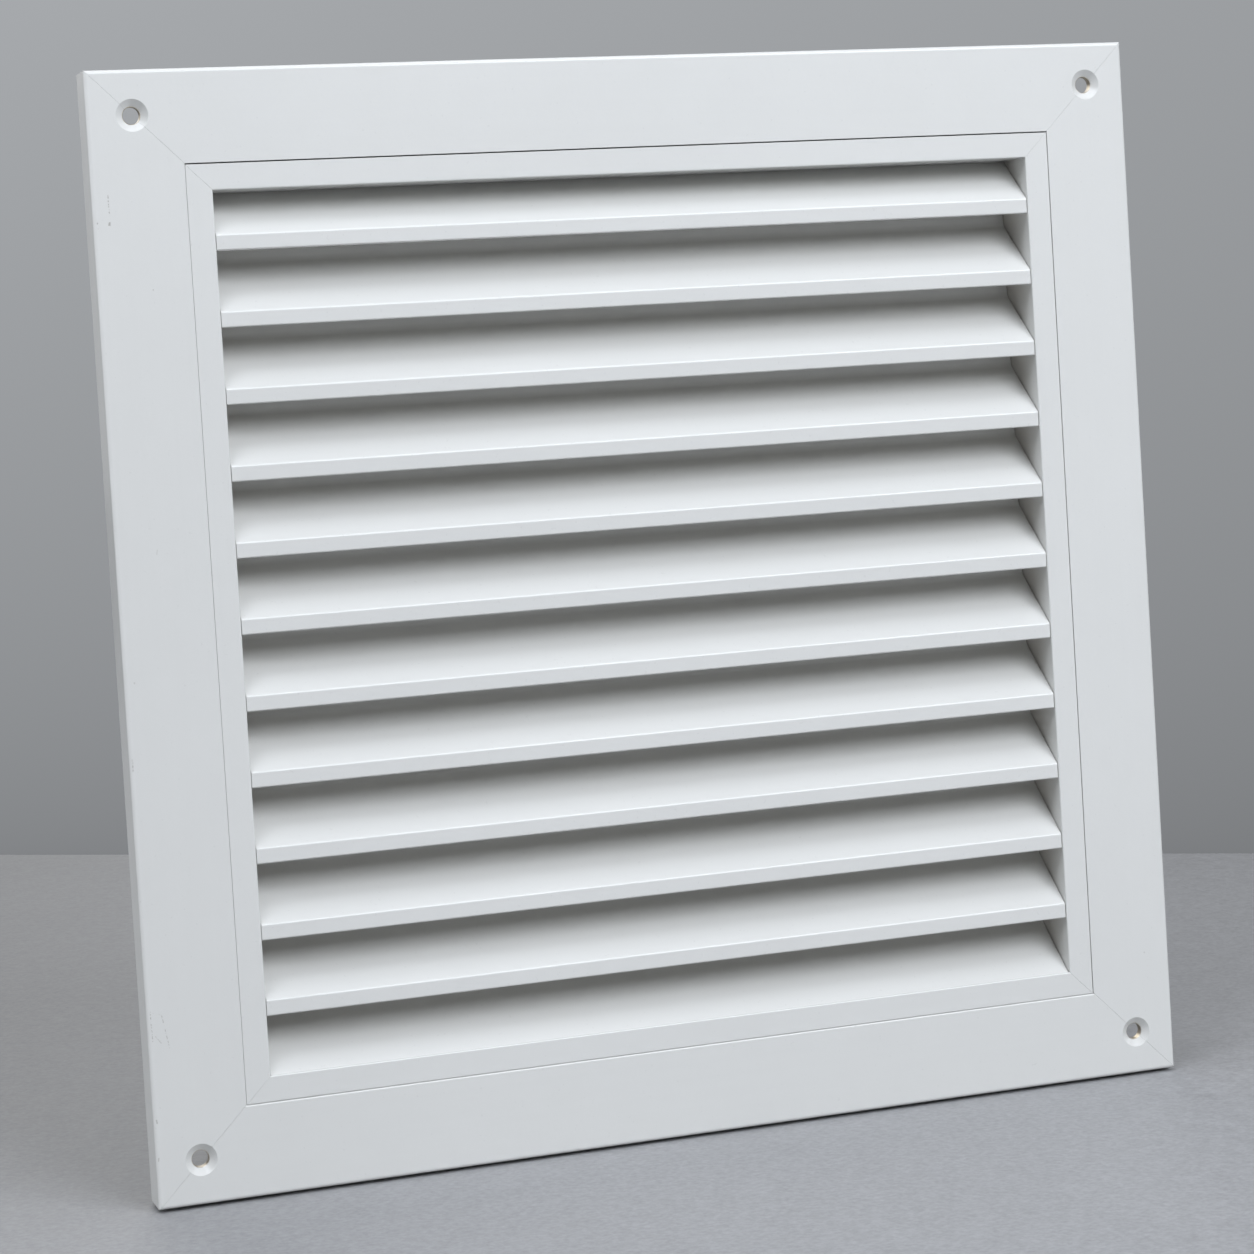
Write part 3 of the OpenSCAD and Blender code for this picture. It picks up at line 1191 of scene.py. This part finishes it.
@dataclass
class Louvres:
    """Twelve fixed blades; the first is cut off at the head and the last at the sill."""

    core: Core
    finishes: Finishes
    count: int = 12
    pitch: float = 20.4
    head_gap: float = 15.9
    nose_h: float = 4.2
    recess: float = 0.4
    nose_r: float = 0.9
    slope: float = 40.0
    thickness: float = 1.3
    depth: float = 17.6
    overlap: float = 0.6
    bend_r: float = 2.4
    play: float = 0.15
    port_r: float = 2.5
    port_y: float = 10.0
    port_merge: float = 0.4
    port_slot: float = 1.5
    end_r: float = 0.14
    height_play: float = 0.05
    roll_play: float = 0.012
    seed: int = 7

    @property
    def rise(self) -> float:
        """Height gained per depth along the slope."""
        return math.tan(math.radians(self.slope))

    @property
    def slant(self) -> float:
        """Blade thickness measured upright."""
        return self.thickness / math.cos(math.radians(self.slope))

    @property
    def first(self) -> float:
        """Height of the first nose's lower edge in the core."""
        return self.core.opening / 2 - self.head_gap

    @property
    def port_z(self) -> float:
        """Height of the screw port's middle over the nose's lower edge."""
        drop = (self.port_r - self.port_merge) / math.cos(math.radians(self.slope))
        return self.nose_h + (self.port_y - self.recess) * self.rise - self.slant - drop

    def screw_heights(self) -> list[float]:
        """Heights of the blade screws in the core, from the top."""
        return [self.first - i * self.pitch + self.port_z for i in range(self.count)]

    def port(self) -> list[Point]:
        """Makes the open screw port under the slope.

        Returns:
            Its outline from front to rear.
        """
        angle = math.radians(self.slope)
        along = Vector((math.cos(angle), math.sin(angle)))
        down = Vector((math.sin(angle), -math.cos(angle)))
        centre = Vector((self.port_y, self.port_z))
        root = math.degrees(math.acos((self.port_r - self.port_merge) / self.port_r))
        lip = math.degrees(math.asin(self.port_slot / 2 / self.port_r))
        mouth = math.degrees(math.asin(self.port_slot / 2 / self.core.bore_r))

        def arc(radius: float, start: float, end: float, steps: int) -> list[Point]:
            """Makes an arc about the port's middle.

            Args:
                radius: Its radius.
                start: First angle in degrees, from the slope's direction downwards.
                end: Last angle.
                steps: Its segments.

            Returns:
                Its points.
            """
            spots = []
            for k in range(steps + 1):
                turn = math.radians(start + (end - start) * k / steps)
                spot = centre + along * (radius * math.cos(turn)) + down * (radius * math.sin(turn))
                spots.append((spot.x, spot.y))
            return spots

        return [
            *arc(self.port_r, 270 - root, 90 + lip, 9),
            *arc(self.core.bore_r, 90 + mouth, 450 - mouth, 22),
            *arc(self.port_r, 90 - lip, -90 + root, 9),
        ]

    def section(self) -> list[Point]:
        """Makes a blade's section.

        Returns:
            The outline as [depth, height over the nose's lower edge].
        """
        back = self.recess + self.depth
        inner = back - self.thickness
        top = self.pitch + self.overlap
        front = self.recess + self.thickness
        corners: list[Triple] = [
            (self.recess, 0.0, 0.4),
            (front, 0.0, 0.3),
            (front, self.nose_h + self.thickness * self.rise - self.slant, 0.4),
            *((y, z, 0.0) for y, z in self.port()),
            (back, self.nose_h + self.depth * self.rise - self.slant, self.bend_r + self.thickness),
            (back, top, 0.4),
            (inner, top, 0.4),
            (inner, self.nose_h + (inner - self.recess) * self.rise, self.bend_r),
            (self.recess, self.nose_h, self.nose_r),
        ]
        return counter_clockwise(rounded(corners, 8))

    def blade(self, name: str, outline: Sequence[Point], height: float) -> Object:
        """Draws one blade out to its length.

        Args:
            name: Name of the object.
            outline: Its section.
            height: Height of its nose's lower edge in the core.

        Returns:
            The raw object, in the core's settled place.
        """
        half = self.core.opening / 2 - self.play

        def place(p: Point, sign: float, back: float) -> Vector:
            """Spot of a section point near one end."""
            return Vector((sign * (half - back), p[0] + FACE_Y, p[1] + height))

        return Shell().prism(outline, place, self.end_r).object(name, self.core.matrix)

    def bank_tree(self) -> NodeTree:
        """Makes the tree that repeats one blade down the core.

        Returns:
            The tree.
        """
        inputs = {
            "Blade": "Geometry",
            "Blade count": "Int",
            "Pitch": "Float",
            "First drop": "Float",
            "Height play": "Float",
            "Roll play": "Float",
            "Seed": "Int",
            "Finish": "Material",
        }
        g, given = node_group("louvre bank", "GeometryNodeTree", inputs, ("Bank", "Geometry"))
        down = [g.join(z=g.math("MULTIPLY", given[name], -1.0)) for name in ("First drop", "Pitch")]
        line = g.line(given["Blade count"], *down)
        height, roll = given["Height play"], given["Roll play"]
        lift = g.join(z=g.random(g.math("MULTIPLY", height, -1.0), height, given["Seed"]))
        rows = g.add("GeometryNodeSetPosition", {"Geometry": line, "Offset": lift}).outputs[0]
        seed = g.math("ADD", given["Seed"], ROLL_SEED_STEP)
        tilt = g.join(y=g.random(g.math("MULTIPLY", roll, -1.0), roll, seed))
        return g.finish(g.repeat(rows, given["Blade"], tilt, given["Finish"]))

    def build(self) -> None:
        """Makes the head blade, the bank of whole blades and the sill blade."""
        outline = self.section()
        half = self.core.opening / 2
        head = clipped(outline, -1.0, half - self.play - self.first)
        top = self.blade("louvre_head", head, self.first)
        hand_over(top, self.finishes.blade, ["blade_01"])
        last = self.first - (self.count - 1) * self.pitch
        sill = clipped(outline, -half - last, 99.0)
        bottom = self.blade("louvre_sill", sill, last)
        hand_over(bottom, self.finishes.blade, [f"blade_{self.count:02d}"])
        bank = self.blade("louvre_bank", outline, self.first)
        values = {
            "Blade count": self.count - 2,
            "Pitch": self.pitch * MM,
            "First drop": self.pitch * MM,
            "Height play": self.height_play * MM,
            "Roll play": math.radians(self.roll_play),
            "Seed": self.seed,
            "Finish": self.finishes.blade,
        }
        run_tree(bank, self.bank_tree(), values)
        hand_over(bank, self.finishes.blade, [f"blade_{i:02d}" for i in range(2, self.count)])


def run_tree(obj: Object, tree: NodeTree, values: dict[str, Input]) -> Object:
    """Runs a Geometry Nodes tree on an object and keeps the result as its plain mesh.

    Args:
        obj: Object whose mesh goes in.
        tree: The tree.
        values: Its inputs by name.

    Returns:
        The object.
    """
    modifier = obj.modifiers.new("tree", "NODES")
    modifier.node_group = tree
    for item in tree.interface.items_tree:
        if item.in_out == "INPUT" and item.name in values:
            modifier[item.identifier] = values[item.name]
    return baked(obj)


@dataclass
class SpringClips:
    """Leaf springs under four of the blade screws, bowed out against the neck."""

    core: Core
    louvres: Louvres
    finishes: Finishes
    width: float = 10.0
    thickness: float = 0.5
    foot: float = 8.0
    peak: float = 2.73
    back: float = 21.0
    row: int = 3
    edge_r: float = 0.08
    sharp_angle: float = 35.0

    def strip(self) -> list[Point]:
        """Makes the leaf's section: a flat foot, then a shallow bow.

        Returns:
            The outline as [distance from the leg, depth].
        """
        front = self.louvres.port_y - self.foot / 2
        start = front + self.foot
        chord = self.back - start
        sag = self.peak - self.thickness
        radius = ((chord / 2) ** 2 + sag**2) / (2 * sag)
        middle = start + chord / 2
        reach = math.asin(chord / 2 / radius)
        outer: list[Point] = [(self.thickness, front)]
        inner: list[Point] = [(0.0, front)]
        steps = 22
        for k in range(steps + 1):
            turn = -reach + 2 * reach * k / steps
            for line, r, least in ((outer, radius, self.thickness), (inner, radius - self.thickness, 0.0)):
                away = self.peak - radius + r * math.cos(turn)
                line.append((max(least, away), middle + r * math.sin(turn)))
        return counter_clockwise([*inner, *reversed(outer)])

    def clip(self, corner: Corner) -> None:
        """Makes one clip.

        Args:
            corner: Where it sits.
        """
        x, up = corner.value
        index = self.row - 1 if up > 0 else self.louvres.count - self.row
        height = self.louvres.screw_heights()[index]

        def place(p: Point, sign: float, back: float) -> Vector:
            """Spot of a section point near the upper or lower edge of the leaf."""
            return Vector((p[0], p[1], sign * (self.width / 2 - back)))

        shell = Shell().prism(self.strip(), place, self.edge_r)
        spot = self.core.matrix @ Matrix.Translation((x * self.core.leg_out, FACE_Y, height))
        obj = shell.object(f"spring_clip_{corner.label}", spot @ Matrix.Diagonal((x, 1.0, 1.0, 1.0)))
        bore = self.core.bore_r
        tool = Shell().lathe([(0.0, -1.0), (bore, -1.0), (bore, 1.6), (0.0, 1.6)], 28)
        turn = Matrix.Rotation(x * math.pi / 2, 4, "Y")
        there = spot @ Matrix.Translation((0.0, self.louvres.port_y, 0.0)) @ turn
        tools = [tool.object("bore tool", there)]
        hand_over(obj, self.finishes.clip, [f"clip_{corner.label}"], tools, self.sharp_angle)

    def build(self) -> None:
        """Makes all clips."""
        for corner in Corner:
            self.clip(corner)


@dataclass
class BladeScrews:
    """Pan head tapping screws with a cross recess, one at each end of each blade."""

    core: Core
    louvres: Louvres
    clips: SpringClips
    finishes: Finishes
    head_d: float = 5.4
    head_h: float = 1.6
    shank_d: float = 2.8
    shank_len: float = 10.0
    root_d: float = 2.15
    thread: float = 1.06
    land: float = 0.45
    fullness: float = 0.62
    ridge: Triple = (-0.34, -0.46, -0.80)
    recess_foot: Triple = (0.55, 0.2, 0.35)
    recess_mouth: Point = (1.35, 0.34)
    sharp_angle: float = 38.0
    seed: int = 20

    def head(self, shell: Shell) -> None:
        """Adds the domed head with a slight land at its rim.

        Args:
            shell: Where it goes.
        """
        r, h = self.head_d / 2, self.head_h
        turns = [math.radians(t) for t in range(0, 80, 10)]
        dome = [(r * math.cos(t) ** self.fullness, self.land + (h - self.land) * math.sin(t)) for t in turns]
        shell.lathe([(0.0, 0.0), (r - 0.12, 0.0), (r, 0.12), *dome, (0.0, h)], 40)

    def shank(self, shell: Shell) -> None:
        """Adds the threaded shank as one winding surface with a blunt point.

        Args:
            shell: Where it goes.
        """
        steps = 18
        turns = int((self.shank_len - 1.0) / self.thread)
        rows = []
        for k in range(turns * steps + 1):
            turn = 2 * math.pi * k / steps
            start = -0.02 - self.thread * k / steps
            fade = min(1.0, k / steps, (turns * steps - k) / steps)
            crest = self.root_d / 2 + (self.shank_d - self.root_d) / 2 * max(0.0, fade)
            rise, fall, foot = self.ridge
            lines = ((self.root_d / 2, 0.0), (crest, rise), (crest, fall), (self.root_d / 2, foot))
            ring = [Vector((r * math.cos(turn), r * math.sin(turn), start + z)) for r, z in lines]
            rows.append(shell.ring(ring))
        for a, b in zip(rows, rows[1:]):
            for i in range(3):
                shell.faces.append((a[i], a[i + 1], b[i + 1], b[i]))
        for k in range((turns - 1) * steps):
            a, b = rows[k], rows[k + 1]
            c, d = rows[k + steps], rows[k + 1 + steps]
            shell.faces.append((a[3], c[0], d[0], b[3]))
        end = [rows[-1 - k][3] for k in range(steps)]
        shell.fan(end, Vector((0.0, 0.0, -self.shank_len)))

    def recess(self) -> Object:
        """Makes the tapered cross that is cut into the head.

        Returns:
            The cutting tool.
        """

        def cross(length: float, width: float, height: float) -> list[Vector]:
            """Makes a ring from the three corners of an arm, turned four times.

            Args:
                length: Length of an arm from the middle.
                width: Half width of an arm.
                height: Height of the ring.

            Returns:
                Its points.
            """
            arm = [(length, -width), (length, width), (width, width)]
            spots: list[Point] = []
            for _ in range(4):
                spots.extend(arm)
                arm = [(-y, x) for x, y in arm]
            return [Vector((x, y, height)) for x, y in spots]

        shell = Shell()
        mouth = (*self.recess_mouth, self.head_h + 0.1)
        rings = [shell.ring(cross(*spot)) for spot in (self.recess_foot, mouth)]
        shell.bridge(rings)
        shell.cap(rings[0])
        shell.cap(rings[1])
        return shell.object("recess tool")

    def screw(self, name: str) -> Object:
        """Makes one screw with its seat at the origin and its shank down -Z.

        Args:
            name: Name of the object.

        Returns:
            The screw.
        """
        top = Shell()
        self.head(top)
        obj = top.object(name)
        carve(obj, [self.recess()])
        body = Shell()
        self.shank(body)
        shank = body.object("shank")
        work = bmesh.new()
        work.from_mesh(obj.data)
        work.from_mesh(shank.data)
        work.to_mesh(obj.data)
        work.free()
        bpy.data.objects.remove(shank, do_unlink=True)
        return obj

    def row_tree(self) -> NodeTree:
        """Makes the tree that sets one screw at the end of each blade.

        Returns:
            The tree.
        """
        inputs = {
            "Screw": "Geometry",
            "Screw count": "Int",
            "Pitch": "Float",
            "First place": "Vector",
            "Clip rows": "Int",
            "Clip thickness": "Float",
            "Side": "Float",
            "Seed": "Int",
            "Finish": "Material",
        }
        g, given = node_group("screw row", "GeometryNodeTree", inputs, ("Row", "Geometry"))
        step = g.join(z=g.math("MULTIPLY", given["Pitch"], -1.0))
        line = g.line(given["Screw count"], given["First place"], step)
        index = g.add("GeometryNodeInputIndex").outputs[0]
        upper = g.math("COMPARE", index, g.math("SUBTRACT", given["Clip rows"], 1.0), 0.1)
        mirror = g.math("SUBTRACT", given["Screw count"], given["Clip rows"])
        lower = g.math("COMPARE", index, mirror, 0.1)
        on_clip = g.math("MAXIMUM", upper, lower)
        lift = g.math("MULTIPLY", g.math("MULTIPLY", on_clip, given["Clip thickness"]), given["Side"])
        rows = g.add("GeometryNodeSetPosition", {"Geometry": line, "Offset": g.join(x=lift)}).outputs[0]
        spin = g.random(0.0, 2 * math.pi, given["Seed"])
        turns = (g.join(y=g.math("MULTIPLY", given["Side"], math.pi / 2)), g.join(z=spin))
        base, own = (g.add("FunctionNodeEulerToRotation", {0: turn}).outputs[0] for turn in turns)
        turned = g.add("FunctionNodeRotateRotation", {0: base, 1: own}, rotation_space="LOCAL").outputs[0]
        return g.finish(g.repeat(rows, given["Screw"], turned, given["Finish"]))

    def build(self) -> None:
        """Makes both rows of screws."""
        tree = self.row_tree()
        x0, _, z0 = self.core.shift
        for side in Side:
            name = f"louvre_screws_{side.label}"
            first = (
                (x0 + side.value * self.core.leg_out) * MM,
                (FACE_Y + self.louvres.port_y) * MM,
                (z0 + self.louvres.screw_heights()[0]) * MM,
            )
            values = {
                "Screw count": self.louvres.count,
                "Pitch": self.louvres.pitch * MM,
                "First place": first,
                "Clip rows": self.clips.row,
                "Clip thickness": self.clips.thickness * MM,
                "Side": float(side.value),
                "Seed": self.seed + side.value,
                "Finish": self.finishes.screw,
            }
            row = run_tree(self.screw(name), tree, values)
            nodes = [f"blade_screws_{side.label}"]
            hand_over(row, self.finishes.screw, nodes, angle=self.sharp_angle)


# Studio


@dataclass(frozen=True)
class Lamp:
    """A soft rectangular lamp that points at the grille's middle: place in mm, size in m, power in W."""

    name: str
    place: Triple
    size: Point
    power: float
    colour: Triple = (0.955, 0.997, 1.074)

    def build(self) -> None:
        """Hangs the lamp."""
        data = bpy.data.lights.new(self.name, "AREA")
        data.shape = "RECTANGLE"
        data.size, data.size_y = self.size
        data.energy = self.power
        data.color = self.colour
        obj = bpy.data.objects.new(self.name, data)
        obj.location = Vector(self.place) * MM
        obj.rotation_euler = Vector(self.place).to_track_quat("Z", "Y").to_euler()
        obj.visible_camera = False
        bpy.context.scene.collection.objects.link(obj)


WARM = (1.0, 0.985, 0.955)
LAMPS = (
    Lamp("key lamp", (520.0, -1340.0, 900.0), (1.0, 0.9), 19.9),
    Lamp("right lamp", (1000.0, -1030.0, 900.0), (0.8, 0.9), 2.3),
    Lamp("high lamp", (-800.0, -700.0, 1400.0), (0.8, 0.9), 10.9),
    Lamp("top lamp", (0.0, -300.0, 1700.0), (1.2, 1.2), 7.8),
    Lamp("side strip", (-1700.0, 10.0, 500.0), (0.12, 1.4), 9.2),
    Lamp("rear lamp", (-100.0, 1500.0, 800.0), (1.2, 1.0), 6.0, WARM),
)


@dataclass
class Studio:
    """Grey floor and a glowing wall with painted shade, soft light from above and in front, and the camera.
    """

    lens: float = 90.75
    shift_y: float = -0.1013
    camera_place: Triple = (-280.9, -828.3, 64.3)
    camera_turn: Triple = (87.614, 3.454, -18.39)
    wall_left: Point = (-103.0, 706.0)
    wall_right: Point = (362.0, 325.0)
    reach: float = 6000.0
    wall_top: float = 4000.0
    sky_strength: float = 0.115
    sky_shown: Triple = (0.315, 0.316, 0.318)

    def camera(self) -> None:
        """Places the camera at the photograph's viewpoint."""
        data = bpy.data.cameras.new("camera")
        data.lens = self.lens
        data.sensor_width = 36.0
        data.shift_y = self.shift_y
        data.clip_start = 0.01
        data.clip_end = 30.0
        obj = bpy.data.objects.new("camera", data)
        obj.location = Vector(self.camera_place) * MM
        obj.rotation_euler = tuple(math.radians(a) for a in self.camera_turn)
        bpy.context.scene.collection.objects.link(obj)
        bpy.context.scene.camera = obj

    def sheet(self, name: str, corners: Sequence[Triple], finish: Material) -> Object:
        """Adds a flat stage piece.

        Args:
            name: Name of the object.
            corners: Its corners in millimetres.
            finish: Its material.

        Returns:
            The object.
        """
        mesh = bpy.data.meshes.new(name)
        mesh.from_pydata([Vector(c) * MM for c in corners], [], [tuple(range(len(corners)))])
        mesh.materials.append(finish)
        obj = bpy.data.objects.new(name, mesh)
        bpy.context.scene.collection.objects.link(obj)
        return obj

    def room(self) -> None:
        """Adds the floor under the grille and the wall behind it."""
        z, far, top = FLOOR_Z, self.reach, self.wall_top
        corners = [(-far, -far, z), (far, -far, z), (far, far, z), (-far, far, z)]
        self.sheet("floor", corners, FloorFinish().build())
        a, b = Vector(self.wall_left), Vector(self.wall_right)
        along = (b - a).normalized()
        left, right = a - along * far, b + along * far
        corners = [(left.x, left.y, z), (right.x, right.y, z), (right.x, right.y, top), (left.x, left.y, top)]
        wall = self.sheet("wall", corners, WallFinish().build())
        wall.visible_diffuse = False
        wall.visible_glossy = False
        wall.visible_shadow = False

    def sky(self) -> None:
        """Lights the scene evenly and shows the backdrop's grey to the camera and in reflections."""
        world = bpy.data.worlds.new("studio")
        world.use_nodes = True
        bpy.context.scene.world = world
        g = Graph(world.node_tree)
        plain = world.node_tree.nodes["Background"]
        g.fill(plain, {"Color": WARM, "Strength": self.sky_strength})
        shown = g.add("ShaderNodeBackground", {"Color": self.sky_shown, "Strength": 1.0})
        path = g.add("ShaderNodeLightPath").outputs
        seen = g.math("MAXIMUM", path["Is Camera Ray"], path["Is Glossy Ray"])
        seen = g.math("MAXIMUM", seen, path["Is Transmission Ray"])
        both = g.add("ShaderNodeMixShader", {0: seen, 1: plain.outputs[0], 2: shown.outputs[0]})
        g.put(world.node_tree.nodes["World Output"].inputs[0], both.outputs[0])

    def build(self) -> None:
        """Sets up camera, room and light."""
        scene = bpy.context.scene
        scene.view_settings.view_transform = "Standard"
        self.camera()
        self.room()
        for lamp in LAMPS:
            lamp.build()
        self.sky()


def main() -> None:
    """Builds the studio and the grille."""
    logging.basicConfig(level=logging.INFO, format="%(name)s: %(message)s")
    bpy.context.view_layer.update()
    Studio().build()
    finishes = Finishes.make()
    core = Core(finishes)
    louvres = Louvres(core, finishes)
    clips = SpringClips(core, louvres, finishes)
    OuterFrame(finishes).build()
    core.build(louvres.screw_heights(), louvres.port_y)
    louvres.build()
    BladeScrews(core, louvres, clips, finishes).build()
    clips.build()


if __name__ == "__main__":
    main()
